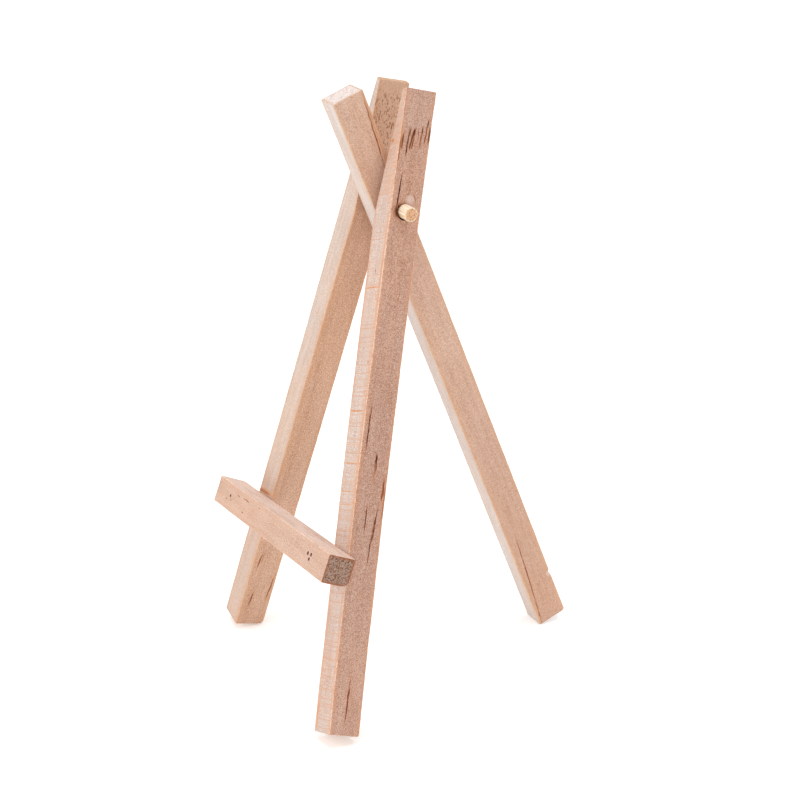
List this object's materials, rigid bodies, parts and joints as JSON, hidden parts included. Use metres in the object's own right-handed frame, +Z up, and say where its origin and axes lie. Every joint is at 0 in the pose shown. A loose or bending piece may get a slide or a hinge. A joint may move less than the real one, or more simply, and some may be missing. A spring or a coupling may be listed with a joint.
{
  "type": "plate display stand",
  "caption": "Small folding wooden tripod easel with a crossbar ledge, which holds a plate, tile or card up for display on a table or in a case.",
  "frame": {"origin": "middle of the footprint box, on the table", "axes": "+Z up, +Y towards the rear leg, +X along the pivot dowel towards its proud end, which is the viewer's right"},
  "size_m": [0.079, 0.0848, 0.1496],
  "materials": {
    "leg_wood": "raw sawn and lightly sanded pale wood, unvarnished",
    "crossbar_wood": "raw lightly sanded pale wood, unvarnished",
    "bamboo": "smooth raw bamboo, cut square",
    "brad_steel": "dull tarnished wire"
  },
  "bodies": {
    "front_frame": {"left_front_leg": "leg_wood", "right_front_leg": "leg_wood", "crossbar": "crossbar_wood", "pivot_dowel": "bamboo", "brad_left": "brad_steel", "brad_right_inner": "brad_steel", "brad_right_outer": "brad_steel", "brad_right_lower": "brad_steel"},
    "rear_leg": {"rear_leg": "leg_wood"}
  },
  "joints": [
    {"name": "rear_leg_pivot", "type": "hinge", "parent": "front_frame", "child": "rear_leg", "pos_m": [0.00189, -0.00967, 0.12186], "axis": [1, 0, 0], "range_deg": [-34.6, 56]}
  ]
}
